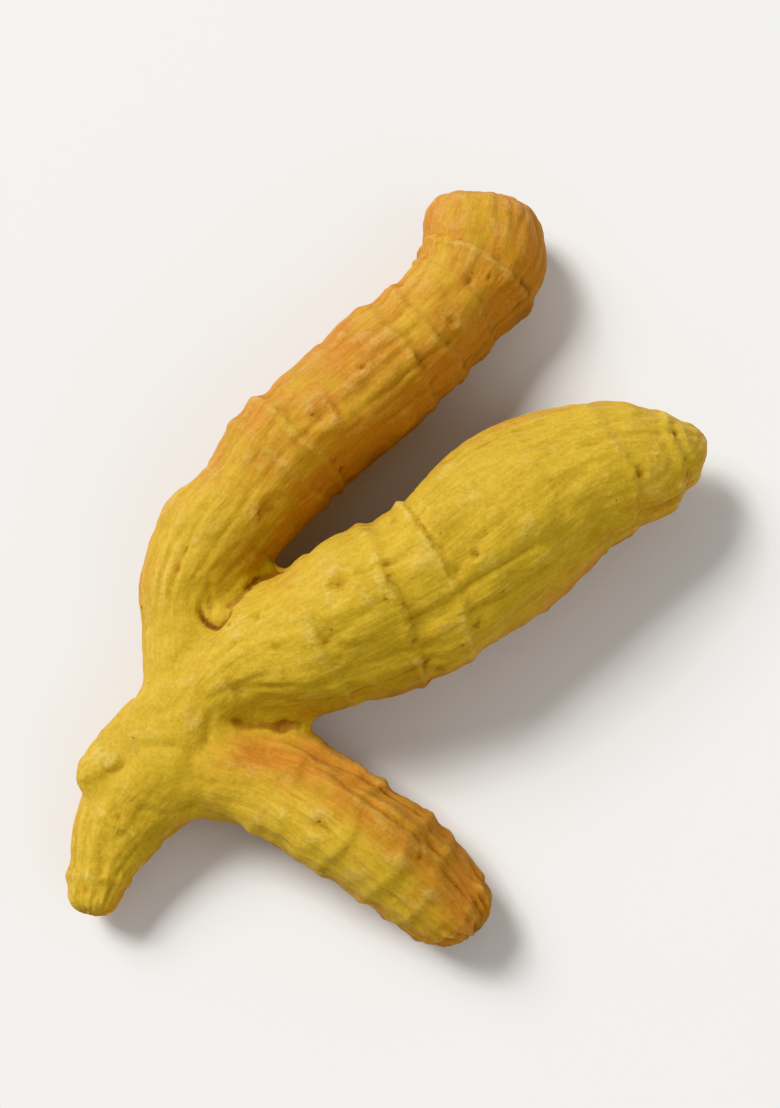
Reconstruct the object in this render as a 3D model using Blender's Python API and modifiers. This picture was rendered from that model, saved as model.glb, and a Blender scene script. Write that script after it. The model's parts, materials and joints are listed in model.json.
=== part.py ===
"""A dried and polished turmeric root, lying as it comes to rest on a surface.

It grew as one piece, so it is one solid: a stub, a short body and a fat finger on one
axis, with a long finger, a short finger and a corner bud that branch from the body.
Blender units are metres, +Z is up, and the sizes below are in mm.
"""

import random

import bmesh
import bpy
import numpy as np
from mathutils import Matrix, Vector, noise

NAME = "turmeric_rhizome"
MM = 0.001

# Centre lines as (x, y, z, radius) in mm, each from the body out to its tip.
# The main axis runs from the stub through the body to the tip of the fat finger.
MAIN_AXIS = (
    (-20.4, -24.9, 3.8, 2.2),
    (-19.6, -21.8, 4.0, 2.8),
    (-17.9, -18.2, 4.4, 3.7),
    (-14.8, -13.9, 4.9, 4.9),
    (-12.0, -9.8, 5.6, 4.4),
    (-8.6, -7.1, 6.6, 5.1),
    (-4.0, -5.5, 7.5, 6.1),
    (1.5, -3.0, 8.1, 6.8),
    (6.6, -0.3, 8.3, 6.8),
    (11.4, 3.4, 8.2, 6.8),
    (15.2, 6.2, 7.9, 6.2),
    (18.8, 7.9, 7.4, 5.4),
    (21.9, 8.8, 6.9, 4.5),
    (24.2, 9.6, 6.6, 3.2),
)
LONG_FINGER = (
    (-12.7, -9.4, 5.4, 3.6),
    (-13.6, -5.4, 6.2, 3.6),
    (-13.6, -1.6, 6.8, 3.9),
    (-11.4, 2.1, 7.2, 4.4),
    (-8.7, 5.2, 7.5, 4.7),
    (-5.5, 9.2, 7.7, 5.1),
    (-1.8, 12.8, 7.6, 5.2),
    (1.7, 16.0, 7.2, 5.05),
    (5.1, 19.2, 6.5, 5.0),
    (7.6, 22.0, 6.1, 4.75),
    (9.1, 25.0, 5.5, 5.1),
    (9.75, 28.1, 5.2, 5.05),
)
SHORT_FINGER = (
    (-15.0, -13.6, 5.0, 4.3),
    (-10.8, -14.8, 5.2, 4.3),
    (-6.2, -16.2, 5.7, 4.6),
    (-1.9, -18.8, 5.9, 4.8),
    (1.8, -21.5, 5.4, 4.7),
    (4.6, -23.7, 4.6, 4.4),
    (7.0, -25.9, 3.9, 3.8),
)
CORNER_BUD = (
    (-16.4, -13.6, 5.6, 3.3),
    (-19.0, -14.9, 6.1, 2.5),
    (-20.6, -15.6, 6.4, 1.7),
)
MIDDLE = (2.2, 1.2)  # the middle of the whole root from above, in the same mm

# Where the root touches the surface, and how much is worn off there.
LOW_SPOTS = ((9.5, 26.8), (5.6, -24.6), (-14.8, -14.0))
LOW_SPOT_REACH = 4.5
WEAR = 0.3
NEAR_FLOOR = 0.02  # a point this near the surface lies on it
WELD = 0.001

# The length of each round end over its radius: below 1 is blunt.
BLUNT_HEAD = 0.62
BLUNT_STUB = 0.8
BLUNT_TIP = 0.75
END_ANGLES = (14, 28, 42, 55, 67, 77, 85)  # degrees from the last section to the tip

# The plain form: its fineness, and how far and how much the forks are softened.
VOXEL = 0.45
FORK_REACH = 1.1
FORK_PASSES = 10
SKIN_SOFTNESS = 0.12  # the softening away from the forks, as a share of that in them
TRIANGLES = 11200

# Rings, the scars of leaf bases: each a raised ridge beside a shallow waist.
RING_SPACING = 4.4
RING_UNEVENNESS = (0.5, 1.45)
RING_LEAN = (0.15, 0.8)
RING_STRENGTH = (0.15, 1.0)
RING_HEIGHT = 0.34
RING_WIDTH = 0.55
RING_WANDER = 0.9
RING_GAPS = (0.75, 0.8, 0.25, 1.1)  # what is kept of a ring: mean, swing, least and most
RING_GAP_GRAIN = (0.9, 0.05)  # the noise that fades a ring in places, as Grain below
WAIST_DEPTH = 0.34
WAIST_WIDTH = 1.3
WAIST_PLACE = 0.6

# The rest of the relief. Grain is the noise's cells in a radius and in a mm along.
LUMP_HEIGHT = 0.8
LUMP_SIZE = 7.0
OVAL = (0.05, 0.5, 0.05)  # share of the radius, its direction in radians, twist in a mm
WANDER_GRAIN = (1.3, 0.16)
WRINKLE_DEPTH = 0.16
WRINKLE_WIDTH = 0.16
WRINKLE_GRAIN = (2.6, 0.11)
CRINKLE_DEPTH = 0.45
CRINKLE_WIDTH = 0.26
CRINKLE_GRAIN = (3.4, 0.15)
CRINKLE_SIDE = 2.3  # radians round the short finger, from its right side
CRINKLE_SPREAD = 0.8
CRINKLE_START = 5.0
CRINKLE_TIP = 5.0
CRINKLE_FADE = 4.0
FORK_FADE = 3.0  # how far from a fork the limbs' own relief reaches its full height
FOLD_DEPTH = 0.22  # the shallow folds of the skin in and round the forks
FOLD_WIDTH = 0.14
FOLD_SIZE = 3.6
FOLD_PLACE = 20.0  # these two places in the noise keep one use of it unlike the next
LIMB_PLACE = 9.1

# The long finger's head slants back above its axis and has a rim round a shallow dish,
# and the fat finger's tip has a bud.
END_REACH = 2.5
END_FADE = 1.5
HEAD_SLANT = (0.26, 5.5)  # mm back for each mm above the axis, and how far it starts
HEAD_RIM = (0.12, 3.4, 0.8)  # height, distance off the axis, width
HEAD_DISH = (0.4, 2.4)  # depth, width
TIP_BUD = (0.6, 1.2)  # height, width
TIP_GROOVE = (0.3, 2.3, 0.6)  # depth, distance off the axis, width

# Round marks as (limb, mm along it, degrees round it from its right side, radius, height).
# Scars of thin roots are dents with a low rim, and buds are low knobs.
SCAR_RIM = (0.22, 1.1, 0.35)  # height, distance and width, as shares of the scar's own
SCAR_DENT = 0.7
MARK_GRAIN = (4.0, 0.8)  # the noise that makes the marks uneven, as Grain above
MARK_UNEVENNESS = 0.45
SCARS = (
    ("long_finger", 4.5, -5.0, 1.3, 0.5),
    ("long_finger", 17.0, 60.0, 1.2, 0.35),
    ("long_finger", 24.5, 85.0, 0.9, 0.3),
    ("long_finger", 31.0, 150.0, 1.1, 0.35),
    ("long_finger", 26.0, -100.0, 1.4, 0.4),
    ("main_axis", 9.5, 120.0, 1.0, 0.35),
    ("main_axis", 33.0, 105.0, 1.1, 0.35),
    ("main_axis", 46.0, 160.0, 0.9, 0.3),
    ("main_axis", 36.0, -80.0, 1.5, 0.45),
    ("main_axis", 44.0, -20.0, 1.1, 0.35),
    ("short_finger", 14.0, 75.0, 0.9, 0.3),
    ("short_finger", 12.0, -60.0, 1.2, 0.4),
)
BUDS = (
    ("long_finger", 12.5, 165.0, 1.5, 0.5),
    ("long_finger", 29.0, 20.0, 1.3, 0.4),
    ("main_axis", 27.5, 50.0, 1.7, 0.5),
    ("main_axis", 40.0, 140.0, 1.6, 0.45),
    ("main_axis", 42.0, -60.0, 1.8, 0.6),
    ("short_finger", 9.0, 20.0, 1.4, 0.45),
)

# Cracks and tight creases in the upper side as (x, y) to (x, y), with width and depth.
CRACKS = (
    ((-10.4, -11.7), (-8.4, -12.0), 0.3, 0.35),
    ((-8.4, -12.0), (-4.4, -12.2), 0.28, 0.4),
    ((-10.4, -2.7), (-8.6, -1.4), 0.28, 0.4),
    ((-8.6, -1.4), (-5.9, 1.0), 0.3, 0.6),
    ((-2.3, 12.3), (-1.3, 10.9), 0.3, 0.3),
)

# Knots in the upper side, each a low knob over a curved groove, as (x, y, radius, height).
KNOTS = (
    (-11.2, -3.3, 0.95, 0.4),
    (-19.0, -14.6, 0.8, 0.14),
)
KNOT_WIDTH = 0.7  # of the knob, as a share of the radius
KNOT_GROOVE = (1.0, 1.05, 0.32)  # depth, distance and width, as shares of the knot's own
STRAY = (0.5, -0.6)  # how far cracks and knots stray sideways, and over what length
STRAY_GRAIN = 2.6
CRACK_ENDS = 0.4  # how deep a crack is at its ends, as a share of the depth at its middle
UPPER_SIDE = 3.0  # how soon these marks reach full depth as the skin turns upwards


class Limb:
    """One finger, stub or bud: its centre line, the frame along it and its rings."""

    def __init__(self, name, points, blunt_end, blunt_start=None, seed=0):
        self.name = name
        self.seed = seed
        line = smooth_line(np.array(points))
        if blunt_start is not None:
            line = np.vstack([round_end(line[1], line[0], blunt_start)[::-1], line])
        self.line = np.vstack([line, round_end(line[-2], line[-1], blunt_end)])
        self.spots = self.line[:, :3]
        self.radius = self.line[:, 3]
        steps = np.linalg.norm(np.diff(self.spots, axis=0), axis=1)
        self.along = np.concatenate([[0.0], np.cumsum(steps)])
        self.length = self.along[-1]
        ahead = np.gradient(self.spots, axis=0)
        self.ahead = ahead / np.linalg.norm(ahead, axis=1)[:, None]
        right = np.cross(self.ahead, (0.0, 0.0, 1.0))
        self.right = right / np.linalg.norm(right, axis=1)[:, None]
        self.up = np.cross(self.right, self.ahead)
        self.rings = ring_places(self.length, seed)


def smooth_line(points, steps=8):
    """Rows on a Catmull-Rom curve through the points, radius included."""
    ends = [2 * points[0] - points[1], *points, 2 * points[-1] - points[-2]]
    rows = []
    for a, b, c, d in zip(ends, ends[1:], ends[2:], ends[3:]):
        for t in np.arange(steps) / steps:
            bend = (2 * a - 5 * b + 4 * c - d) * t**2 + (3 * b - a - 3 * c + d) * t**3
            rows.append(b + 0.5 * ((c - a) * t + bend))
    rows.append(points[-1])
    return np.array(rows)


def round_end(inner, last, blunt):
    """Rows that close a centre line past its last row in a round end."""
    ahead = (last - inner)[:3]
    ahead /= np.linalg.norm(ahead)
    rows = []
    for angle in np.radians(END_ANGLES):
        reach = last[3] * blunt * np.sin(angle)
        rows.append([*(last[:3] + ahead * reach), last[3] * np.cos(angle)])
    return np.array(rows)


def ring_places(length, seed):
    """Rings as (place along, lean, the side it leans to, strength), unevenly spaced."""
    draw = random.Random(seed)
    rings = []
    place = RING_SPACING * draw.uniform(*RING_UNEVENNESS)
    while place < length:
        side = draw.uniform(-np.pi, np.pi)
        rings.append((place, draw.uniform(*RING_LEAN), side, draw.uniform(*RING_STRENGTH)))
        place += RING_SPACING * draw.uniform(*RING_UNEVENNESS)
    return rings


def tube(limb):
    """The limb's plain form: a bevelled curve along its centre line."""
    curve = bpy.data.curves.new(limb.name, "CURVE")
    curve.dimensions = "3D"
    curve.bevel_depth = MM
    curve.bevel_resolution = 7
    curve.use_fill_caps = True
    spline = curve.splines.new("POLY")
    spline.points.add(len(limb.line) - 1)
    for point, (x, y, z, radius) in zip(spline.points, limb.line):
        point.co = (x * MM, y * MM, z * MM, 1.0)
        point.radius = radius
    return bpy.data.objects.new(limb.name, curve)


def evaluated_mesh(obj):
    """A new mesh of the object with its modifiers in it."""
    graph = bpy.context.evaluated_depsgraph_get()
    return bpy.data.meshes.new_from_object(obj.evaluated_get(graph))


def keep_modifiers(obj):
    """Makes the modified form the object's own mesh."""
    obj.data = evaluated_mesh(obj)
    obj.modifiers.clear()


def joined_tubes(limbs, collection):
    """One object that holds every limb's tube, its caps welded."""
    joined = bmesh.new()
    for limb in limbs:
        obj = tube(limb)
        collection.objects.link(obj)
        mesh = evaluated_mesh(obj)
        joined.from_mesh(mesh)
        bpy.data.objects.remove(obj)
        bpy.data.meshes.remove(mesh)
    bmesh.ops.remove_doubles(joined, verts=joined.verts, dist=WELD * MM)
    mesh = bpy.data.meshes.new(NAME)
    joined.to_mesh(mesh)
    joined.free()
    root = bpy.data.objects.new(NAME, mesh)
    collection.objects.link(root)
    return root


def fused_form(limbs, collection):
    """The limbs as one closed skin, with the creases at the forks softened."""
    root = joined_tubes(limbs, collection)
    remesh = root.modifiers.new("fuse", "REMESH")
    remesh.mode = "VOXEL"
    remesh.voxel_size = VOXEL * MM
    keep_modifiers(root)

    lead = skin_places(limbs, points_of(root.data))[4]
    softness = SKIN_SOFTNESS + (1 - SKIN_SOFTNESS) * np.exp(-((lead / FORK_REACH) ** 2))
    fork = root.vertex_groups.new(name="fork")
    for index, weight in enumerate(softness):
        fork.add([index], float(weight), "REPLACE")
    soften = root.modifiers.new("soften forks", "SMOOTH")
    soften.factor = 0.5
    soften.iterations = FORK_PASSES
    soften.vertex_group = fork.name
    finer = root.modifiers.new("finer skin", "SUBSURF")
    finer.levels = 1
    finer.render_levels = 1
    keep_modifiers(root)
    root.vertex_groups.clear()
    return root


def points_of(mesh):
    """The mesh's points in mm."""
    flat = np.empty(len(mesh.vertices) * 3)
    mesh.vertices.foreach_get("co", flat)
    return flat.reshape(-1, 3) / MM


def normals_of(mesh):
    flat = np.empty(len(mesh.vertices) * 3)
    mesh.vertices.foreach_get("normal", flat)
    return flat.reshape(-1, 3)


def skin_places(limbs, spots):
    """For each point: its limb's number, mm along, angle round, mm off axis and lead.

    The lead is how much nearer the point is to its own limb's skin than to the next
    limb's, so it is 0 in the middle of a fork.
    """
    gaps, places = [], []
    for limb in limbs:
        squares = (spots**2).sum(1)[:, None] + (limb.spots**2).sum(1)
        squares -= 2 * spots @ limb.spots.T
        gap = np.sqrt(np.maximum(squares, 0.0)) - limb.radius
        near = gap.argmin(axis=1)
        offset = spots - limb.spots[near]
        high = (offset * limb.up[near]).sum(1)
        wide = (offset * limb.right[near]).sum(1)
        along = limb.along[near] + (offset * limb.ahead[near]).sum(1)
        gaps.append(gap.min(axis=1))
        places.append((along, np.arctan2(high, wide), np.hypot(high, wide)))
    gaps = np.array(gaps)
    order = gaps.argsort(axis=0)
    own = order[0]
    pick = np.arange(len(spots))
    lead = gaps[order[1], pick] - gaps[own, pick]
    along, around, off_axis = np.array(places)[own, :, pick].T
    return own, along, around, off_axis, lead


def noise_at(places):
    """Blender's own Perlin noise at each row, from about -1 to 1."""
    return np.array([noise.noise(Vector(place)) for place in places])


def limb_noise(limb, along, angle, grain):
    """Noise that has no seam round the limb and differs from limb to limb."""
    across, lengthwise = grain
    height = lengthwise * along + LIMB_PLACE * limb.seed
    return noise_at(np.column_stack([across * np.cos(angle), across * np.sin(angle), height]))


def bump(value, width):
    """1 where the value is 0, falling off smoothly over about the width."""
    return np.exp(-((value / width) ** 2))


def rings(limb, along, angle):
    """Raised rings, each beside a waist, leaning and wavering as leaf bases do."""
    wander = limb_noise(limb, along, angle, WANDER_GRAIN)
    height = np.zeros_like(along)
    for place, lean, side, strength in limb.rings:
        off = along - place - lean * np.cos(angle - side) - RING_WANDER * wander
        ridge = RING_HEIGHT * bump(off, RING_WIDTH)
        waist = WAIST_DEPTH * bump(off - WAIST_PLACE, WAIST_WIDTH)
        height += strength * (ridge - waist)
    mean, swing, least, most = RING_GAPS
    kept = mean + swing * limb_noise(limb, along, angle + 1.0, RING_GAP_GRAIN)
    return height * np.clip(kept, least, most)


def round_marks(limb, along, angle, off_axis):
    """Scars of thin roots, dented inside a low rim, and the low knobs of buds."""
    uneven = limb_noise(limb, along, angle, MARK_GRAIN)
    height = np.zeros_like(along)
    for marks, is_scar in ((SCARS, True), (BUDS, False)):
        for name, place, degrees, size, depth in marks:
            if name != limb.name:
                continue
            turn = (angle - np.radians(degrees) + np.pi) % (2 * np.pi) - np.pi
            away = np.hypot(along - place, off_axis * turn) / size * (1.0 + MARK_UNEVENNESS * uneven)
            if is_scar:
                rim_height, rim_place, rim_width = SCAR_RIM
                height += rim_height * depth * bump(away - rim_place, rim_width)
                height -= depth * bump(away, SCAR_DENT)
            else:
                height += depth * bump(away, 1.0)
    return height


def wrinkles(limb, along, angle):
    """Shallow furrows that run lengthwise, where the flesh shrank as it dried."""
    return WRINKLE_DEPTH * bump(limb_noise(limb, along, angle, WRINKLE_GRAIN), WRINKLE_WIDTH)


def crinkles(limb, along, angle):
    """The deep wavy wrinkles on the short finger's outer flank and round its tip."""
    flank = bump(angle - CRINKLE_SIDE, CRINKLE_SPREAD)
    flank *= np.clip((along - CRINKLE_START) / CRINKLE_FADE, 0.0, 1.0)
    tip = np.clip((along - limb.length + CRINKLE_TIP) / CRINKLE_FADE, 0.0, 1.0)
    folds = bump(limb_noise(limb, along, angle, CRINKLE_GRAIN), CRINKLE_WIDTH)
    return CRINKLE_DEPTH * np.clip(flank + tip, 0.0, 1.0) * folds


def ends(limb, along, angle, off_axis):
    """The long finger's slanting, dished head and the bud at the fat finger's tip."""
    near_end = np.clip((along - limb.length + END_REACH) / END_FADE, 0.0, 1.0)
    if limb.name == "long_finger":
        height, place, width = HEAD_RIM
        dish_depth, dish_width = HEAD_DISH
        rim = height * bump(off_axis - place, width)
        slope, reach = HEAD_SLANT
        share = np.clip((along - limb.length + reach) / reach, 0.0, 1.0)
        slant = slope * share**2 * np.maximum(off_axis * np.sin(angle), 0.0)
        return near_end * (rim - dish_depth * bump(off_axis, dish_width)) - slant
    if limb.name == "main_axis":
        height, width = TIP_BUD
        groove_depth, groove_place, groove_width = TIP_GROOVE
        groove = groove_depth * bump(off_axis - groove_place, groove_width)
        return near_end * (height * bump(off_axis, width) - groove)
    return np.zeros_like(along)


def folds(spots, clear):
    """Shallow folds in and round the forks, where no limb's own relief shows."""
    return FOLD_DEPTH * (1.0 - clear) * bump(noise_at(spots / FOLD_SIZE + FOLD_PLACE), FOLD_WIDTH)


def strayed(spots):
    """The points from above, shifted a little, which makes marks on them uneven."""
    return spots[:, :2] + np.outer(noise_at(spots / STRAY_GRAIN), STRAY)


def facing_up(facing):
    """1 on the upper side, down to 0 where the skin turns under."""
    return np.clip(UPPER_SIDE * facing[:, 2], 0.0, 1.0)


def knots(spots, facing):
    """How far the knots stand out, from above, less the groove on their -Y side."""
    plan = strayed(spots)
    height = np.zeros(len(spots))
    depth, place, width = KNOT_GROOVE
    for x, y, radius, high in KNOTS:
        away = np.hypot(plan[:, 0] - x, plan[:, 1] - y) / radius
        below = 0.5 - 0.5 * (plan[:, 1] - y) / (radius * np.maximum(away, 0.1))
        height += high * (bump(away, KNOT_WIDTH) - depth * below * bump(away - place, width))
    return height * facing_up(facing)


def cracks(spots, facing):
    """How deep the short cracks cut, from above."""
    plan = strayed(spots)
    depth = np.zeros(len(spots))
    for start, finish, width, deep in CRACKS:
        run = np.subtract(finish, start)
        share = np.clip(((plan - start) @ run) / (run @ run), 0.0, 1.0)
        away = np.linalg.norm(plan - start - share[:, None] * run, axis=1)
        taper = CRACK_ENDS + (1.0 - CRACK_ENDS) * np.sin(np.pi * share)
        depth += deep * taper * bump(away, width)
    return depth * facing_up(facing)


def relief(limbs, spots, facing):
    """How far each point of the skin stands out, in mm."""
    own, along, around, off_axis, lead = skin_places(limbs, spots)
    clear = np.clip(lead / FORK_FADE, 0.0, 1.0)
    oval, direction, twist = OVAL
    height = LUMP_HEIGHT * noise_at(spots / LUMP_SIZE)
    height += knots(spots, facing) - cracks(spots, facing) - folds(spots, clear)
    for number, limb in enumerate(limbs):
        mine = own == number
        s, angle, off = along[mine], around[mine], off_axis[mine]
        local = oval * off * np.cos(2 * (angle - direction - twist * s))
        local += rings(limb, s, angle)
        local += round_marks(limb, s, angle, off)
        local -= wrinkles(limb, s, angle)
        local += ends(limb, s, angle, off)
        if limb.name == "short_finger":
            local -= crinkles(limb, s, angle)
        height[mine] += local * clear[mine]
    return height


def raise_relief(root, limbs):
    spots = points_of(root.data)
    facing = normals_of(root.data)
    spots += relief(limbs, spots, facing)[:, None] * facing
    settle(spots)
    root.data.vertices.foreach_set("co", (spots * MM).ravel())
    root.data.update()


def settle(spots):
    """Levels the points so that the three low spots lie WEAR below z = 0."""
    lowest = []
    for spot in LOW_SPOTS:
        close = np.linalg.norm(spots[:, :2] - spot, axis=1) < LOW_SPOT_REACH
        lowest.append(spots[close][spots[close][:, 2].argmin()])
    lowest = np.array(lowest)
    plane = np.linalg.solve(np.column_stack([lowest[:, :2], np.ones(3)]), lowest[:, 2])
    spots[:, 2] -= spots[:, :2] @ plane[:2] + plane[2] + WEAR


def thin_out(root):
    """Keeps the triangles where the skin bends most."""
    thin = root.modifiers.new("thin out", "DECIMATE")
    thin.ratio = TRIANGLES / (2 * len(root.data.polygons))
    thin.use_collapse_triangulate = True
    keep_modifiers(root)


def sink_dimples(form):
    """Lowers the dimples inside the low spots, which a cut would leave as loose shells."""
    reached = set()
    front = [max(form.verts, key=lambda corner: corner.co.z)]
    while front:
        corner = front.pop()
        if corner not in reached and corner.co.z > NEAR_FLOOR * MM:
            reached.add(corner)
            front.extend(edge.other_vert(corner) for edge in corner.link_edges)
    for corner in form.verts:
        if corner not in reached and corner.co.z > NEAR_FLOOR * MM:
            corner.co.z = -WEAR * MM


def wear_flat_below(root):
    """Cuts the low spots flat at z = 0, so that the root rests on small faces there."""
    form = bmesh.new()
    form.from_mesh(root.data)
    sink_dimples(form)
    everything = [*form.verts, *form.edges, *form.faces]
    cut = bmesh.ops.bisect_plane(
        form, geom=everything, plane_no=(0, 0, -1), dist=NEAR_FLOOR * MM, clear_outer=True
    )
    for corner in form.verts:
        if corner.co.z < NEAR_FLOOR * MM:
            corner.co.z = 0.0
    rim = [item for item in cut["geom_cut"] if isinstance(item, bmesh.types.BMEdge)]
    bmesh.ops.holes_fill(form, edges=rim)
    bmesh.ops.recalc_face_normals(form, faces=form.faces)
    form.to_mesh(root.data)
    form.free()


def turmeric_skin():
    material = bpy.data.materials.new("turmeric_skin")
    material.use_nodes = True
    shader = material.node_tree.nodes["Principled BSDF"]
    shader.inputs["Base Color"].default_value = (0.72, 0.38, 0.03, 1.0)
    shader.inputs["Roughness"].default_value = 0.75
    shader.inputs["Metallic"].default_value = 0.0
    return material


def main():
    for obj in list(bpy.data.objects):
        bpy.data.objects.remove(obj)
    collection = bpy.data.collections.new("turmeric_root")
    bpy.context.scene.collection.children.link(collection)

    limbs = [
        Limb("main_axis", MAIN_AXIS, BLUNT_TIP, BLUNT_STUB, seed=3),
        Limb("long_finger", LONG_FINGER, BLUNT_HEAD, seed=5),
        Limb("short_finger", SHORT_FINGER, BLUNT_TIP, seed=8),
        Limb("corner_bud", CORNER_BUD, BLUNT_STUB, seed=13),
    ]
    root = fused_form(limbs, collection)
    raise_relief(root, limbs)
    thin_out(root)
    root.data.transform(Matrix.Translation((-MIDDLE[0] * MM, -MIDDLE[1] * MM, 0.0)))
    wear_flat_below(root)
    root.data.materials.append(turmeric_skin())
    root.data.shade_smooth()


if __name__ == "__main__":
    main()
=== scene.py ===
"""The look of a dried and polished turmeric root, as a Blender add-on run as a script.

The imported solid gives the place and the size. The skin made here has the same form,
from the same centre lines, with finer rings, wrinkles, scars and pores, and a dry,
powdery finish. Lengths below are in mm unless a property says otherwise.
"""

import json
import math
import random

import bmesh
import bpy
import numpy as np
from bpy.props import FloatProperty, FloatVectorProperty, PointerProperty
from bpy.types import Operator, Panel, PropertyGroup
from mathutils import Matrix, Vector, noise

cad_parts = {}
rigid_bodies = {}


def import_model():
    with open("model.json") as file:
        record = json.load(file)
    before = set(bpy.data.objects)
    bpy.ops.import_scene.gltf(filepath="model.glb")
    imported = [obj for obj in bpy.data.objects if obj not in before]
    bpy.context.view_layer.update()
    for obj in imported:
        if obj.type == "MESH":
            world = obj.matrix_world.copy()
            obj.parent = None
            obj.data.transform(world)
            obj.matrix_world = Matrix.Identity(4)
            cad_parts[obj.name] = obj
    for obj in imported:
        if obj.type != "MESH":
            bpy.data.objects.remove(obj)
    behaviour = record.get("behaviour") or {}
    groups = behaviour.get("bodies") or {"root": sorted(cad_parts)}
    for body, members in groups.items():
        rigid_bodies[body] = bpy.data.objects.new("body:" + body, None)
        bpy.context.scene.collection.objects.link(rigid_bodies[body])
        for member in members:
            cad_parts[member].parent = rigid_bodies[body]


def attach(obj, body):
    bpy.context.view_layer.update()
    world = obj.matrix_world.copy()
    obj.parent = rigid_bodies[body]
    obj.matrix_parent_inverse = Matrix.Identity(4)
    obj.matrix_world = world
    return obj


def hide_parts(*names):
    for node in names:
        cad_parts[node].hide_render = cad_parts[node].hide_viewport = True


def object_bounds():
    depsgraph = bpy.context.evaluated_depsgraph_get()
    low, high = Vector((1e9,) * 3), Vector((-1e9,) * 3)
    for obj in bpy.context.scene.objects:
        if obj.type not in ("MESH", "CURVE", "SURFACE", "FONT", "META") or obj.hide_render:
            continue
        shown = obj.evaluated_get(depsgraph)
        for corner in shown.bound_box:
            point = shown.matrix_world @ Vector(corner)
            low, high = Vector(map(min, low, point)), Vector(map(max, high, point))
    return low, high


for startup_object in list(bpy.data.objects):
    bpy.data.objects.remove(startup_object)
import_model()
CAD_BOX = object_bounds()

bl_info = {
    "name": "Dried turmeric root",
    "version": (1, 0, 0),
    "blender": (4, 5, 0),
    "location": "3D View > Sidebar > Turmeric",
    "description": "Makes the powdery skin of a dried turmeric root and a small studio",
    "category": "Object",
}

NODE = "turmeric_rhizome"
BODY = "root"
MM = 0.001

# Centre lines as (x, y, z, radius), each from the body out to its tip.
# The main axis runs from the stub through the body to the tip of the fat finger.
MAIN_AXIS = (
    (-20.4, -24.9, 3.8, 2.2),
    (-19.6, -21.8, 4.0, 2.8),
    (-17.9, -18.2, 4.4, 3.7),
    (-14.8, -13.9, 4.9, 4.9),
    (-12.0, -9.8, 5.6, 4.4),
    (-8.6, -7.1, 6.6, 5.1),
    (-4.0, -5.5, 7.5, 6.1),
    (1.5, -3.0, 8.1, 6.8),
    (6.6, -0.3, 8.3, 6.8),
    (11.4, 3.4, 8.2, 6.8),
    (15.2, 6.2, 7.9, 6.2),
    (18.8, 7.9, 7.4, 5.4),
    (21.9, 8.8, 6.9, 4.5),
    (24.2, 9.6, 6.6, 3.2),
)
LONG_FINGER = (
    (-12.7, -9.4, 5.4, 3.6),
    (-13.6, -5.4, 6.2, 3.6),
    (-13.6, -1.6, 6.8, 3.9),
    (-11.4, 2.1, 7.2, 4.4),
    (-8.7, 5.2, 7.5, 4.7),
    (-5.5, 9.2, 7.7, 5.1),
    (-1.8, 12.8, 7.6, 5.2),
    (1.7, 16.0, 7.2, 5.05),
    (5.1, 19.2, 6.5, 5.0),
    (7.6, 22.0, 6.1, 4.75),
    (9.1, 25.0, 5.5, 5.1),
    (9.75, 28.1, 5.2, 5.05),
)
SHORT_FINGER = (
    (-15.0, -13.6, 5.0, 4.3),
    (-10.8, -14.8, 5.2, 4.3),
    (-6.2, -16.2, 5.7, 4.6),
    (-1.9, -18.8, 5.9, 4.8),
    (1.8, -21.5, 5.4, 4.7),
    (4.6, -23.7, 4.6, 4.4),
    (7.0, -25.9, 3.9, 3.8),
)
CORNER_BUD = (
    (-16.4, -13.6, 5.6, 3.3),
    (-19.0, -14.9, 6.1, 2.5),
    (-20.6, -15.6, 6.4, 1.7),
)
MIDDLE = (2.2, 1.2)  # the middle of the whole root from above, in the same mm

# Where the root touches the surface, and how much is worn off there.
LOW_SPOTS = ((9.5, 26.8), (5.6, -24.6), (-14.8, -14.0))
LOW_SPOT_REACH = 4.5
WEAR = 0.3
WELD = 0.001

# The length of each round end over its radius: below 1 is blunt.
BLUNT_HEAD = 0.62
BLUNT_STUB = 0.8
BLUNT_TIP = 0.75
END_ANGLES = (14, 28, 42, 55, 67, 77, 85)  # degrees from the last section to the tip

# The plain form: its fineness, and how far and how much the forks are softened.
VOXEL = 0.45
FORK_REACH = 1.1
FORK_ROUNDS = 10
SKIN_SOFTNESS = 0.12  # the softening away from the forks, as a share of that in them

# Rings, the scars of leaf bases: each a raised ridge beside a shallow waist.
RING_SPACING = 4.4
RING_UNEVENNESS = (0.5, 1.45)
RING_LEAN = (0.15, 0.8)
RING_STRENGTH = (0.15, 1.0)
RING_HEIGHT = 0.34
RING_WIDTH = 0.55
RING_WANDER = 0.9
RING_GAPS = (0.75, 0.8, 0.25, 1.1)  # what is kept of a ring: mean, swing, least and most
RING_GAP_GRAIN = (0.9, 0.05)  # the noise that fades a ring in places, as Grain below
WAIST_DEPTH = 0.34
WAIST_WIDTH = 1.3
WAIST_PLACE = 0.6

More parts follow.
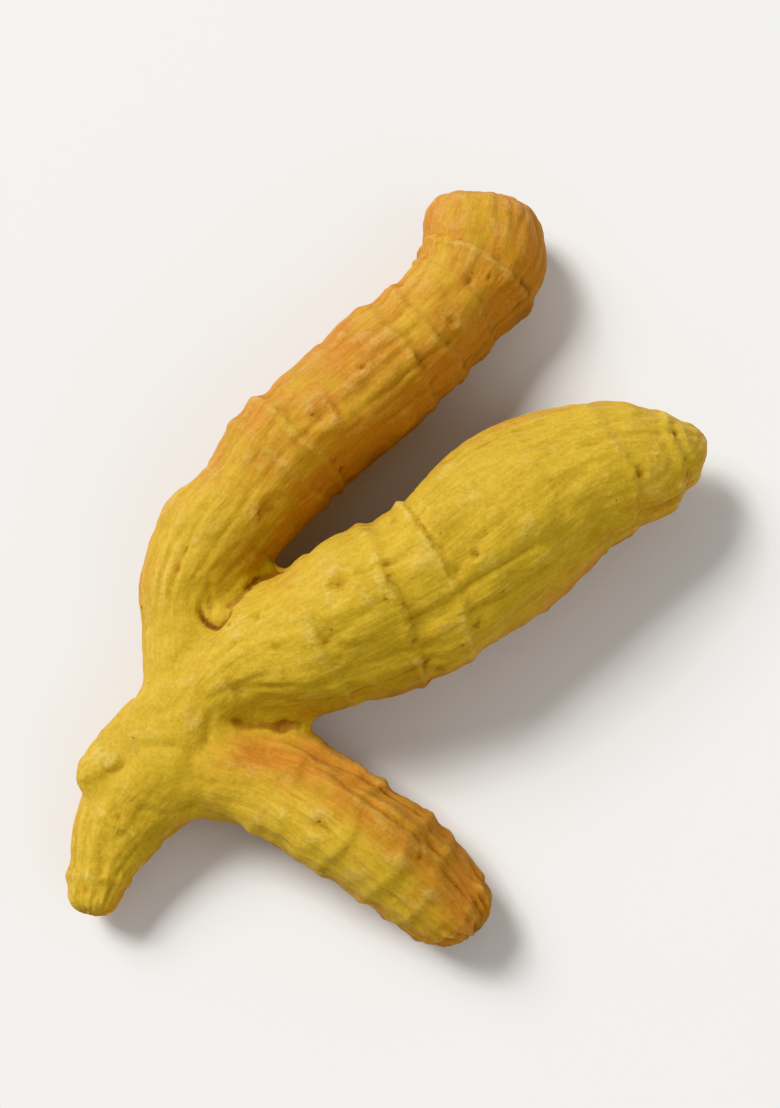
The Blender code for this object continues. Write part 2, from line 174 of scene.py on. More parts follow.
# The rest of the relief. Grain is the noise's cells in a radius and in a mm along.
LUMP_HEIGHT = 0.8
LUMP_SIZE = 7.0
OVAL = (0.05, 0.5, 0.05)  # share of the radius, its direction in radians, twist in a mm
WANDER_GRAIN = (1.3, 0.16)
WRINKLE_DEPTH = 0.16
WRINKLE_WIDTH = 0.16
WRINKLE_GRAIN = (2.6, 0.11)
CRINKLE_DEPTH = 0.45
CRINKLE_WIDTH = 0.26
CRINKLE_GRAIN = (3.4, 0.15)
CRINKLE_SIDE = 2.3  # radians round the short finger, from its right side
CRINKLE_SPREAD = 0.8
CRINKLE_START = 5.0
CRINKLE_TIP = 5.0
CRINKLE_FADE = 4.0
FORK_FADE = 3.0  # how far from a fork the limbs' own relief reaches its full height
FOLD_DEPTH = 0.22  # the shallow folds of the skin in and round the forks
FOLD_WIDTH = 0.14
FOLD_SIZE = 3.6
FOLD_PLACE = 20.0  # these places in the noise keep one use of it unlike the next
LIMB_PLACE = 9.1
HAMMERED_PLACE = 40.0
GRIT_PLACE = 80.0

# The long finger's head slants back above its axis and has a rim round a shallow dish,
# and the fat finger's tip has a bud.
END_REACH = 2.5
END_FADE = 1.5
HEAD_SLANT = (0.26, 5.5)  # mm back for each mm above the axis, and how far it starts
HEAD_RIM = (0.12, 3.4, 0.8)  # height, distance off the axis, width
HEAD_DISH = (0.4, 2.4)  # depth, width
TIP_BUD = (0.6, 1.2)  # height, width
TIP_GROOVE = (0.3, 2.3, 0.6)  # depth, distance off the axis, width

# Round marks as (limb, mm along it, degrees round it from its right side, radius, height).
# Scars of thin roots are dents with a low rim, and buds are low knobs.
SCAR_RIM = (0.22, 1.1, 0.35)  # height, distance and width, as shares of the scar's own
SCAR_DENT = 0.7
MARK_GRAIN = (4.0, 0.8)  # the noise that makes the marks uneven, as Grain above
MARK_UNEVENNESS = 0.45
SCARS = (
    ("long_finger", 4.5, -5.0, 1.3, 0.5),
    ("long_finger", 17.0, 60.0, 1.2, 0.35),
    ("long_finger", 24.5, 85.0, 0.9, 0.3),
    ("long_finger", 31.0, 150.0, 1.1, 0.35),
    ("long_finger", 26.0, -100.0, 1.4, 0.4),
    ("main_axis", 9.5, 120.0, 1.0, 0.35),
    ("main_axis", 33.0, 105.0, 1.1, 0.35),
    ("main_axis", 46.0, 160.0, 0.9, 0.3),
    ("main_axis", 36.0, -80.0, 1.5, 0.45),
    ("main_axis", 44.0, -20.0, 1.1, 0.35),
    ("short_finger", 14.0, 75.0, 0.9, 0.3),
    ("short_finger", 12.0, -60.0, 1.2, 0.4),
)
BUDS = (
    ("long_finger", 12.5, 165.0, 1.5, 0.5),
    ("long_finger", 29.0, 20.0, 1.3, 0.4),
    ("main_axis", 27.5, 50.0, 1.7, 0.5),
    ("main_axis", 40.0, 140.0, 1.6, 0.45),
    ("main_axis", 42.0, -60.0, 1.8, 0.6),
    ("short_finger", 9.0, 20.0, 1.4, 0.45),
)

# Cracks and tight creases in the upper side as (x, y) to (x, y), with width and depth.
CRACKS = (
    ((-10.4, -11.7), (-8.4, -12.0), 0.3, 0.35),
    ((-8.4, -12.0), (-4.4, -12.2), 0.28, 0.4),
    ((-10.4, -2.7), (-8.6, -1.4), 0.28, 0.4),
    ((-8.6, -1.4), (-5.9, 1.0), 0.3, 0.6),
    ((-2.3, 12.3), (-1.3, 10.9), 0.3, 0.3),
)

# Knots in the upper side, each a low knob over a curved groove, as (x, y, radius, height).
KNOTS = (
    (-11.2, -3.3, 0.95, 0.4),
    (-19.0, -14.6, 0.8, 0.14),
)
KNOT_WIDTH = 0.7  # of the knob, as a share of the radius
KNOT_GROOVE = (1.0, 1.05, 0.32)  # depth, distance and width, as shares of the knot's own
STRAY = (0.5, -0.6)  # how far cracks and knots stray along x and y
STRAY_GRAIN = 2.6  # over what length they stray
CRACK_ENDS = 0.4  # a crack's depth at its ends, as a share of that at its middle
UPPER_SIDE = 3.0  # how soon these marks reach full depth as the skin turns upwards

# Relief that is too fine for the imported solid.
PITS_PER_MM = 0.9  # pits, where hair roots were, for each mm of a limb's length
PIT_SEED = 100
PIT_RADIUS = (0.3, 0.6)
PIT_DEPTH = (0.05, 0.18)
PIT_WIDTH = 0.8  # of the dent, as a share of the radius
PIT_RIM = (0.3, 1.3, 0.4)  # height, distance and width, as shares of the pit's own
PIT_SHARE_BY_RINGS = 0.6
PIT_PAST_RING = (0.4, 1.2)
THREAD_SIZE = (1.5, 8.0)  # the fine wrinkles' spacing and length
THREAD_WIDTH = 0.24
HAMMERED_SIZE = 2.2
GRIT_SIZE = 0.9
CREST_WIDTH = 0.3
CREST_STRAY = 0.25  # how far its fibres stray along the limb
CREST_TORN = (0.5, 1.8, 1.4)  # what is kept of it: mean, swing and most
FRINGE_SIZE = (0.9, 2.5)  # torn fibres along a ring: spacing and length

# Rounds of the smoothing that fine and broad heights are measured from.
FINE_ROUNDS = 8
BROAD_ROUNDS = 80

# The brown crease just past each ring, where the skin is brown or orange, and where painted shade
# colours the sides and underside.
CREASE_PLACE = (0.45, 0.3)  # distance past the ring, and how far it strays
CREASE_WIDTH = 0.3
CREASE_BROKEN = (0.6, 1.8)  # what is kept of it: mean and swing
CRACK_BROWN = 0.9  # strength for each mm of depth
KNOT_BROWN = 4.0
PIT_BROWN = (3.5, 0.7)  # strength for each mm of depth, width as a share of the radius
SCAR_BROWN = (0.45, 0.5)  # strength, width
SCAR_RIM_BROWN = (0.2, 0.8, 0.3)  # strength, distance, width
STAIN_WIDTH = 0.8
HEAD_BROWN = (0.5, 3.2, 1.6, 0.9)  # strength, width, distance from the end, how far it grows
LONG_FINGER_WARMTH = (0.6, 8.0, 12.0)  # strength, start, how far it grows
SHORT_TIP_WARMTH = (0.6, 5.0, 4.0)  # strength, distance from the tip, how far it grows
MOST_WARMTH = 1.2
FLANK_START = (0.75, 0.9)  # the normal's z there, and how far it drops to a full flank
LIMB_GAP = 100.0  # between the fibre marks of one limb and those of the next

# Brown stains on the upper side as (x, y, radius, strength).
STAINS = (
    (0.35, 16.1, 1.3, 0.4),
    (-4.9, 8.8, 0.5, 0.5),
    (2.5, 2.8, 0.45, 0.45),
    (-5.3, -2.1, 0.45, 0.45),
    (5.4, -21.0, 0.6, 0.4),
)

# The orange flanks as (limb, radians round it, spread, strength). On the long finger and the main axis
# this orange is painted shade on the side turned from the key light. On the short finger it is the
# crinkled flank's own colour.
ORANGE_FLANKS_AND_SHADE = (
    ("long_finger", 0.05, 0.75, 1.0),
    ("short_finger", CRINKLE_SIDE, 0.8, 1.25),
    ("main_axis", -0.5, 0.5, 0.35),
)


# The finish's noises as (cell in mm, detail, roughness, distortion).
CLOUDS = (9.0, 3.0, 0.55, 0.0)
SHOALS = (5.0, 4.0, 0.6, 0.6)
PATCHES = (2.4, 4.0, 0.6, 0.0)
MOTTLE = (0.8, 4.0, 0.65, 0.0)
GRAINS = (0.3, 3.0, 0.65, 0.0)
STREAKS = (0.7, 4.0, 0.62, 0.3)
THREADS = (0.28, 3.0, 0.6, 0.0)
FLOOR_CLOUDS = (20.0, 4.0, 0.55, 0.0)
SHOALS_AWAY = (0.3, 0.3, 0.3)  # metres, to be unlike the other noises
STREAK_SQUEEZE = (1.0, 1.0, 0.14)  # draws the marks out along the limb
THREAD_SQUEEZE = (1.0, 1.0, 0.1)

WORN_MOTTLE = 0.3  # how much the mottle frays the dull patches
SPECK_STRENGTH = 0.6
SPECKLE = (0.72, 0.64, 0.5)  # what the darkest grains multiply the colour by
SPECKLE_SHARE = 0.6
BUMPS = ((0.12, 0.7), (0.1, 0.7), (0.035, 0.8))  # height in mm and strength, coarse to fine
SHADER_VALUES = {
    "Specular IOR Level": 0.3,
    "Sheen Weight": 0.12,
    "Sheen Roughness": 0.6,
    "Sheen Tint": (1.0, 0.8, 0.4),
}

# The studio: each light's place and size in metres, the sky, and the camera.
KEY_LIGHT = ((-0.96, 0.78, 1.2), 0.8)
FILL_LIGHT = ((1.35, -0.75, 1.05), 1.5)
SKY_COLOUR = (1.0, 0.99, 0.97, 1.0)
LENS = 85.0
SENSOR_HEIGHT = 36.0
PICTURE = (780, 1108)


def length_setting(name, description, default):
    """A length in metres that a user would change."""
    return FloatProperty(
        name=name,
        description=description,
        default=default,
        subtype="DISTANCE",
        unit="LENGTH",
    )


def colour_setting(name, description, default):
    """A colour that a user would change."""
    return FloatVectorProperty(
        name=name,
        description=description,
        default=default,
        size=3,
        min=0.0,
        max=1.0,
        subtype="COLOR",
    )


class TurmericSkinSettings(PropertyGroup):
    """Sizes and colours of the skin that a user would change."""

    crest_height: length_setting(
        "Ring crest", "How far the thin torn crest of a ring stands out", 0.05 * MM
    )
    thread_depth: length_setting(
        "Fine wrinkles", "Depth of the fine wrinkles that run along each finger", 0.08 * MM
    )
    hammered_height: length_setting(
        "Unevenness", "Height of the low bumps all over the skin", 0.13 * MM
    )
    grit_height: length_setting("Grit", "Height of the smallest bumps that are modelled", 0.06 * MM)
    powder: colour_setting(
        "Powder", "Colour of the rubbed high places, where loose powder lies", (0.62, 0.48, 0.135)
    )
    flesh: colour_setting("Skin", "Main colour of the dried skin", (0.525, 0.357, 0.043))
    # The orange is the long finger's own colour and the crinkled flank's, and also painted shade on
    # the sides turned from the light.
    warm: colour_setting(
        "Orange flank", "Colour of the less polished flanks and of the long finger", (0.48, 0.2, 0.036)
    )
    dull: colour_setting(
        "Dull patches", "Colour of the patches that polishing left dull", (0.37, 0.235, 0.028)
    )
    # Brown of the furrows, also used as painted shade on the sides and underside.
    crease_and_shade_brown: colour_setting(
        "Creases", "Colour in the furrows, where the skin was never rubbed", (0.25, 0.092, 0.019)
    )
    scar: colour_setting("Scars", "Colour of cracks, stains and root scars", (0.085, 0.032, 0.012))


class TurmericStudioSettings(PropertyGroup):
    """Sizes and colours of the floor, the lights and the camera."""

    floor_size: length_setting("Floor size", "Side of the square floor", 3.0)
    floor_colour: colour_setting("Floor", "Colour of the floor", (0.80, 0.79, 0.77))
    camera_height: FloatProperty(
        name="Camera elevation",
        description="Angle of the camera above the floor",
        default=math.radians(80.0),
        subtype="ANGLE",
        unit="ROTATION",
    )
    margin: FloatProperty(
        name="Margin",
        description="Width of the picture over the width of the root",
        default=1.16,
        subtype="FACTOR",
    )
    key_power: FloatProperty(
        name="Key light",
        description="Power of the soft light at the upper left",
        default=42.0,
        subtype="POWER",
        unit="POWER",
    )
    fill_power: FloatProperty(
        name="Fill light",
        description="Power of the wide light at the right",
        default=12.0,
        subtype="POWER",
        unit="POWER",
    )
    sky: FloatProperty(
        name="Sky",
        description="Strength of the even light from all round",
        default=0.34,
        subtype="FACTOR",
    )


class Limb:
    """One finger, stub or bud: its centre line, the frame along it and its rings."""

    def __init__(self, name, points, blunt_end, blunt_start=None, seed=0):
        self.name = name
        self.seed = seed
        line = smooth_line(np.array(points))
        if blunt_start is not None:
            line = np.vstack([round_end(line[1], line[0], blunt_start)[::-1], line])
        self.line = np.vstack([line, round_end(line[-2], line[-1], blunt_end)])
        self.spots = self.line[:, :3]
        self.radius = self.line[:, 3]
        steps = np.linalg.norm(np.diff(self.spots, axis=0), axis=1)
        self.along = np.concatenate([[0.0], np.cumsum(steps)])
        self.length = self.along[-1]
        ahead = np.gradient(self.spots, axis=0)
        self.ahead = ahead / np.linalg.norm(ahead, axis=1)[:, None]
        right = np.cross(self.ahead, (0.0, 0.0, 1.0))
        self.right = right / np.linalg.norm(right, axis=1)[:, None]
        self.up = np.cross(self.right, self.ahead)
        self.rings = ring_places(self.length, seed)
        self.pits = pit_places(self)


def smooth_line(points, steps=8):
    """Rows on a Catmull-Rom curve through the points, radius included."""
    ends = [2 * points[0] - points[1], *points, 2 * points[-1] - points[-2]]
    rows = []
    for a, b, c, d in zip(ends, ends[1:], ends[2:], ends[3:]):
        for t in np.arange(steps) / steps:
            bend = (2 * a - 5 * b + 4 * c - d) * t**2 + (3 * b - a - 3 * c + d) * t**3
            rows.append(b + 0.5 * ((c - a) * t + bend))
    rows.append(points[-1])
    return np.array(rows)


def round_end(inner, last, blunt):
    """Rows that close a centre line past its last row in a round end."""
    ahead = (last - inner)[:3]
    ahead /= np.linalg.norm(ahead)
    rows = []
    for angle in np.radians(END_ANGLES):
        reach = last[3] * blunt * np.sin(angle)
        rows.append([*(last[:3] + ahead * reach), last[3] * np.cos(angle)])
    return np.array(rows)


def ring_places(length, seed):
    """Rings as (place along, lean, the side it leans to, strength), unevenly spaced."""
    draw = random.Random(seed)
    rings = []
    place = RING_SPACING * draw.uniform(*RING_UNEVENNESS)
    while place < length:
        side = draw.uniform(-np.pi, np.pi)
        rings.append((place, draw.uniform(*RING_LEAN), side, draw.uniform(*RING_STRENGTH)))
        place += RING_SPACING * draw.uniform(*RING_UNEVENNESS)
    return rings


def pit_places(limb):
    """Pits of hair roots as (place along, degrees round, radius, depth), most by rings."""
    draw = random.Random(PIT_SEED + limb.seed)
    pits = []
    for _ in range(int(PITS_PER_MM * limb.length)):
        place = draw.uniform(0.0, limb.length)
        if draw.random() < PIT_SHARE_BY_RINGS:
            place = draw.choice(limb.rings)[0] + draw.uniform(*PIT_PAST_RING)
        size = draw.uniform(*PIT_RADIUS)
        pits.append((place, draw.uniform(-180.0, 180.0), size, draw.uniform(*PIT_DEPTH)))
    return pits


def tube(limb):
    """The limb's plain form: a bevelled curve along its centre line."""
    curve = bpy.data.curves.new(limb.name, "CURVE")
    curve.dimensions = "3D"
    curve.bevel_depth = MM
    curve.bevel_resolution = 7
    curve.use_fill_caps = True
    spline = curve.splines.new("POLY")
    spline.points.add(len(limb.line) - 1)
    for point, (x, y, z, radius) in zip(spline.points, limb.line):
        point.co = (x * MM, y * MM, z * MM, 1.0)
        point.radius = radius
    return bpy.data.objects.new(limb.name, curve)


def evaluated_mesh(obj):
    """A new mesh of the object with its modifiers in it."""
    graph = bpy.context.evaluated_depsgraph_get()
    return bpy.data.meshes.new_from_object(obj.evaluated_get(graph))


def keep_modifiers(obj):
    """Makes the modified form the object's own mesh."""
    old = obj.data
    obj.data = evaluated_mesh(obj)
    obj.modifiers.clear()
    bpy.data.meshes.remove(old)


def joined_tubes(limbs, collection):
    """One object that holds every limb's tube, its caps welded."""
    joined = bmesh.new()
    for limb in limbs:
        obj = tube(limb)
        collection.objects.link(obj)
        mesh = evaluated_mesh(obj)
        joined.from_mesh(mesh)
        bpy.data.objects.remove(obj)
        bpy.data.meshes.remove(mesh)
    bmesh.ops.remove_doubles(joined, verts=joined.verts, dist=WELD * MM)
    mesh = bpy.data.meshes.new("turmeric_skin_mesh")
    joined.to_mesh(mesh)
    joined.free()
    root = bpy.data.objects.new("turmeric_root_skin", mesh)
    collection.objects.link(root)
    return root


def fused_form(limbs, collection):
    """The limbs as one closed skin, with the creases at the forks softened."""
    root = joined_tubes(limbs, collection)
    remesh = root.modifiers.new("fuse", "REMESH")
    remesh.mode = "VOXEL"
    remesh.voxel_size = VOXEL * MM
    keep_modifiers(root)

    lead = skin_places(limbs, points_of(root.data))[4]
    softness = SKIN_SOFTNESS + (1 - SKIN_SOFTNESS) * np.exp(-((lead / FORK_REACH) ** 2))
    fork = root.vertex_groups.new(name="fork")
    for index, weight in enumerate(softness):
        fork.add([index], float(weight), "REPLACE")
    soften = root.modifiers.new("soften forks", "SMOOTH")
    soften.factor = 0.5
    soften.iterations = FORK_ROUNDS
    soften.vertex_group = fork.name
    finer = root.modifiers.new("finer skin", "SUBSURF")
    finer.levels = 1
    finer.render_levels = 1
    keep_modifiers(root)
    root.vertex_groups.clear()
    return root


def rows_of(mesh, field):
    """A vector of each of the mesh's points, one row for each."""
    flat = np.empty(len(mesh.vertices) * 3)
    mesh.vertices.foreach_get(field, flat)
    return flat.reshape(-1, 3)


def points_of(mesh):
    """The mesh's points in mm."""
    return rows_of(mesh, "co") / MM


def move_points(mesh, spots):
    """Puts the mesh's points at these places in mm."""
    mesh.vertices.foreach_set("co", (spots * MM).ravel())
    mesh.update()


def skin_places(limbs, spots):
    """For each point: its limb's number, mm along, angle round, mm off axis and lead.

    The lead is how much nearer the point is to its own limb's skin than to the next
    limb's, so it is 0 in the middle of a fork.
    """
    gaps, places = [], []
    for limb in limbs:
        squares = (spots**2).sum(1)[:, None] + (limb.spots**2).sum(1)
        squares -= 2 * spots @ limb.spots.T
        gap = np.sqrt(np.maximum(squares, 0.0)) - limb.radius
        near = gap.argmin(axis=1)
        offset = spots - limb.spots[near]
        high = (offset * limb.up[near]).sum(1)
        wide = (offset * limb.right[near]).sum(1)
        along = limb.along[near] + (offset * limb.ahead[near]).sum(1)
        gaps.append(gap.min(axis=1))
        places.append((along, np.arctan2(high, wide), np.hypot(high, wide)))
    gaps = np.array(gaps)
    order = gaps.argsort(axis=0)
    own = order[0]
    pick = np.arange(len(spots))
    lead = gaps[order[1], pick] - gaps[own, pick]
    along, around, off_axis = np.array(places)[own, :, pick].T
    return own, along, around, off_axis, lead


def noise_at(places):
    """Blender's own Perlin noise at each row, from about -1 to 1."""
    return np.array([noise.noise(Vector(place)) for place in places])


def limb_noise(limb, along, angle, grain):
    """Noise that has no seam round the limb and differs from limb to limb."""
    across, lengthwise = grain
    height = lengthwise * along + LIMB_PLACE * limb.seed
    return noise_at(np.column_stack([across * np.cos(angle), across * np.sin(angle), height]))


def fibre_noise(limb, along, angle, off_axis, size):
    """Noise drawn out along the limb, its size given as (spacing, length) in mm."""
    across, lengthwise = size
    round_x = off_axis * np.cos(angle) / across
    round_y = off_axis * np.sin(angle) / across
    height = along / lengthwise + LIMB_PLACE * limb.seed
    return noise_at(np.column_stack([round_x, round_y, height]))


def bump(value, width):
    """1 where the value is 0, falling off smoothly over about the width."""
    return np.exp(-((value / width) ** 2))


def rise(value, start, reach):
    """0 up to the start, then a straight rise to 1 over the reach."""
    return np.clip((value - start) / reach, 0.0, 1.0)


def ring_offsets(limb, along, angle, wander):
    """For each ring: its strength, and how far past it each point lies along the limb."""
    for place, lean, side, strength in limb.rings:
        yield strength, along - place - lean * np.cos(angle - side) - RING_WANDER * wander


def rings_kept(limb, along, angle):
    """How much is left of the rings, which fade away in places."""
    mean, swing, least, most = RING_GAPS
    kept = mean + swing * limb_noise(limb, along, angle + 1.0, RING_GAP_GRAIN)
    return np.clip(kept, least, most)


def rings(limb, along, angle):
    """Raised rings, each beside a waist, leaning and wavering as leaf bases do."""
    wander = limb_noise(limb, along, angle, WANDER_GRAIN)
    height = np.zeros_like(along)
    for strength, off in ring_offsets(limb, along, angle, wander):
        ridge = RING_HEIGHT * bump(off, RING_WIDTH)
        waist = WAIST_DEPTH * bump(off - WAIST_PLACE, WAIST_WIDTH)
        height += strength * (ridge - waist)
    return height * rings_kept(limb, along, angle)


def turned_from(angle, side):
    """How far round an angle is from a side, from -pi to pi."""
    return (angle - side + np.pi) % (2 * np.pi) - np.pi


def around_mark(along, angle, off_axis, place, degrees, size):
    """How far each point is from a mark's middle, over the mark's radius."""
    turn = turned_from(angle, np.radians(degrees))
    return np.hypot(along - place, off_axis * turn) / size


def round_marks(limb, along, angle, off_axis):
    """Scars of thin roots, dented inside a low rim, and the low knobs of buds."""
    uneven = limb_noise(limb, along, angle, MARK_GRAIN)
    height = np.zeros_like(along)
    for marks, is_scar in ((SCARS, True), (BUDS, False)):
        for name, place, degrees, size, depth in marks:
            if name != limb.name:
                continue
            away = around_mark(along, angle, off_axis, place, degrees, size)
            away *= 1.0 + MARK_UNEVENNESS * uneven
            if is_scar:
                rim_height, rim_place, rim_width = SCAR_RIM
                height += rim_height * depth * bump(away - rim_place, rim_width)
                height -= depth * bump(away, SCAR_DENT)
            else:
                height += depth * bump(away, 1.0)
    return height


def wrinkles(limb, along, angle):
    """Shallow furrows that run lengthwise, where the flesh shrank as it dried."""
    return WRINKLE_DEPTH * bump(limb_noise(limb, along, angle, WRINKLE_GRAIN), WRINKLE_WIDTH)


def crinkled(limb, along, angle):
    """Where the short finger is crinkled: its outer flank and round its tip."""
    flank = bump(angle - CRINKLE_SIDE, CRINKLE_SPREAD)
    flank *= rise(along, CRINKLE_START, CRINKLE_FADE)
    tip = rise(along - limb.length, -CRINKLE_TIP, CRINKLE_FADE)
    return np.clip(flank + tip, 0.0, 1.0)


def crinkles(limb, along, angle):
    """The deep wavy wrinkles on the short finger's outer flank and round its tip."""
    folds = bump(limb_noise(limb, along, angle, CRINKLE_GRAIN), CRINKLE_WIDTH)
    return CRINKLE_DEPTH * crinkled(limb, along, angle) * folds


def ends(limb, along, angle, off_axis):
    """The long finger's slanting, dished head and the bud at the fat finger's tip."""
    near_end = rise(along - limb.length, -END_REACH, END_FADE)
    if limb.name == "long_finger":
        height, place, width = HEAD_RIM
        dish_depth, dish_width = HEAD_DISH
        rim = height * bump(off_axis - place, width)
        slope, reach = HEAD_SLANT
        share = rise(along - limb.length, -reach, reach)
        slant = slope * share**2 * np.maximum(off_axis * np.sin(angle), 0.0)
        return near_end * (rim - dish_depth * bump(off_axis, dish_width)) - slant
    if limb.name == "main_axis":
        height, width = TIP_BUD
        groove_depth, groove_place, groove_width = TIP_GROOVE
        groove = groove_depth * bump(off_axis - groove_place, groove_width)
        return near_end * (height * bump(off_axis, width) - groove)
    return np.zeros_like(along)


def folds(spots, clear):
    """Shallow folds in and round the forks, where no limb's own relief shows."""
    return FOLD_DEPTH * (1.0 - clear) * bump(noise_at(spots / FOLD_SIZE + FOLD_PLACE), FOLD_WIDTH)


def strayed(spots):
    """The points from above, shifted a little, which makes marks on them uneven."""
    return spots[:, :2] + np.outer(noise_at(spots / STRAY_GRAIN), STRAY)


def facing_up(facing):
    """1 on the upper side, down to 0 where the skin turns under."""
    return np.clip(UPPER_SIDE * facing[:, 2], 0.0, 1.0)


def knots(spots, facing):
    """How far the knots stand out, from above, less the groove on their -Y side."""
    plan = strayed(spots)
    height = np.zeros(len(spots))
    depth, place, width = KNOT_GROOVE
    for x, y, radius, high in KNOTS:
        away = np.hypot(plan[:, 0] - x, plan[:, 1] - y) / radius
        below = 0.5 - 0.5 * (plan[:, 1] - y) / (radius * np.maximum(away, 0.1))
        height += high * (bump(away, KNOT_WIDTH) - depth * below * bump(away - place, width))
    return height * facing_up(facing)


def cracks(spots, facing):
    """How deep the short cracks cut, from above."""
    plan = strayed(spots)
    depth = np.zeros(len(spots))
    for start, finish, width, deep in CRACKS:
        run = np.subtract(finish, start)
        share = np.clip(((plan - start) @ run) / (run @ run), 0.0, 1.0)
        away = np.linalg.norm(plan - start - share[:, None] * run, axis=1)
        taper = CRACK_ENDS + (1.0 - CRACK_ENDS) * np.sin(np.pi * share)
        depth += deep * taper * bump(away, width)
    return depth * facing_up(facing)


class Skin:
    """The skin's points, where each lies on its limb, and what it looks like there."""

    def __init__(self, mesh, limbs):
        self.limbs = limbs
        self.spots = points_of(mesh)
        self.facing = rows_of(mesh, "normal")
        self.own, self.along, self.around, self.off_axis, lead = skin_places(limbs, self.spots)
        self.clear = rise(lead, 0.0, FORK_FADE)

    def by_limb(self):
        """For each limb: which points are its own, and their places on it."""
        for number, limb in enumerate(self.limbs):
            mine = self.own == number
            yield limb, mine, self.along[mine], self.around[mine], self.off_axis[mine]


def relief(skin):
    """How far each point of the skin stands out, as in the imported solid, in mm."""
    oval, direction, twist = OVAL
    height = LUMP_HEIGHT * noise_at(skin.spots / LUMP_SIZE)
    height += knots(skin.spots, skin.facing) - cracks(skin.spots, skin.facing)
    height -= folds(skin.spots, skin.clear)
    for limb, mine, along, angle, off_axis in skin.by_limb():
        local = oval * off_axis * np.cos(2 * (angle - direction - twist * along))
        local += rings(limb, along, angle)
        local += round_marks(limb, along, angle, off_axis)
        local -= wrinkles(limb, along, angle)
        local += ends(limb, along, angle, off_axis)
        if limb.name == "short_finger":
            local -= crinkles(limb, along, angle)
        height[mine] += local * skin.clear[mine]
    return height


def fine_relief(skin, sizes):
    """Torn crests, fine wrinkles, pits and low bumps, in mm."""
    mean, swing, most = CREST_TORN
    rim_height, rim_place, rim_width = PIT_RIM
    height = sizes.hammered_height / MM * noise_at(skin.spots / HAMMERED_SIZE + HAMMERED_PLACE)
    height += sizes.grit_height / MM * noise_at(skin.spots / GRIT_SIZE + GRIT_PLACE)
    for limb, mine, along, angle, off_axis in skin.by_limb():
        wander = limb_noise(limb, along, angle, WANDER_GRAIN)
        fringe = fibre_noise(limb, along, angle, off_axis, FRINGE_SIZE)
        torn = np.clip(mean + swing * fringe, 0.0, most) * rings_kept(limb, along, angle)
        local = np.zeros_like(along)
        for strength, off in ring_offsets(limb, along, angle, wander):
            crest = bump(off + CREST_STRAY * fringe, CREST_WIDTH)
            local += sizes.crest_height / MM * strength * torn * crest
        threads = fibre_noise(limb, along, angle, off_axis, THREAD_SIZE)
        local -= sizes.thread_depth / MM * bump(threads, THREAD_WIDTH)
        for place, degrees, size, depth in limb.pits:
            away = around_mark(along, angle, off_axis, place, degrees, size)
            rim = rim_height * depth * bump(away - rim_place, rim_width)
            local -= depth * bump(away, PIT_WIDTH) - rim
        height[mine] += local * skin.clear[mine]
    return height


def resting_plane(spots):
    """The plane through the three low spots, as (slope along x, slope along y, height)."""
    lowest = []
    for spot in LOW_SPOTS:
        close = np.linalg.norm(spots[:, :2] - spot, axis=1) < LOW_SPOT_REACH
        lowest.append(spots[close][spots[close][:, 2].argmin()])
    lowest = np.array(lowest)
    return np.linalg.solve(np.column_stack([lowest[:, :2], np.ones(3)]), lowest[:, 2])


def settled(spots, plane):
    """The points levelled on the plane, worn flat at z = 0 and moved to the middle."""
    height = spots[:, 2] - spots[:, :2] @ plane[:2] - plane[2] - WEAR
    plan = spots[:, :2] - MIDDLE
    return np.column_stack([plan, np.maximum(height, 0.0)])


def neighbour_mean(spots, edges, rounds):
    """The points after some rounds of moving each to the middle of its neighbours."""
    count = np.bincount(edges.ravel(), minlength=len(spots))[:, None]
    for _ in range(rounds):
        total = np.zeros_like(spots)
        for axis in range(3):
            for here, there in ((0, 1), (1, 0)):
                total[:, axis] += np.bincount(
                    edges[:, here], weights=spots[edges[:, there], axis], minlength=len(spots)
                )
        spots = 0.5 * spots + 0.5 * total / count
    return spots


def standing_out(mesh, rounds):
    """How far each point stands out of its smoothed surroundings, in mm."""
    spots = points_of(mesh)
    flat = np.empty(len(mesh.edges) * 2, dtype=np.int32)
    mesh.edges.foreach_get("vertices", flat)
    smooth = neighbour_mean(spots, flat.reshape(-1, 2), rounds)
    return ((spots - smooth) * rows_of(mesh, "normal")).sum(1)


def ring_lines(skin):
    """1 in the thin crease just past each ring, where brown fibre is left."""
    mean, swing = CREASE_BROKEN
    past, stray = CREASE_PLACE
    lines = np.zeros(len(skin.spots))
    for limb, mine, along, angle, off_axis in skin.by_limb():
        wander = limb_noise(limb, along, angle, WANDER_GRAIN)
        fringe = fibre_noise(limb, along, angle, off_axis, FRINGE_SIZE)
        broken = np.clip(mean + swing * fringe, 0.0, 1.0) * rings_kept(limb, along, angle)
        for strength, off in ring_offsets(limb, along, angle, wander):
            lines[mine] += strength * broken * bump(off - past + stray * fringe, CREASE_WIDTH)
    return np.clip(lines * skin.clear, 0.0, 1.0)


def warmth(skin):
    """How orange the skin is: the long finger, the flanks and the short finger's tip. The orange on
    the long finger's and the main axis's sides turned from the light is painted shade.
    """
    warm = np.zeros(len(skin.spots))
    for limb, mine, along, angle, off_axis in skin.by_limb():
        local = np.zeros_like(along)
        # painted shade on the long finger and the main axis, the crinkled flank's own orange on the
        # short finger
        for name, side, spread, strength in ORANGE_FLANKS_AND_SHADE:
            if name == limb.name:
                local += strength * bump(turned_from(angle, side), spread)
        if limb.name == "long_finger":
            strength, start, reach = LONG_FINGER_WARMTH
            local += strength * rise(along, start, reach)
        if limb.name == "short_finger":
            strength, start, reach = SHORT_TIP_WARMTH
            local += strength * rise(along - limb.length, -start, reach)
        warm[mine] = local * skin.clear[mine]
    return np.clip(warm, 0.0, MOST_WARMTH)


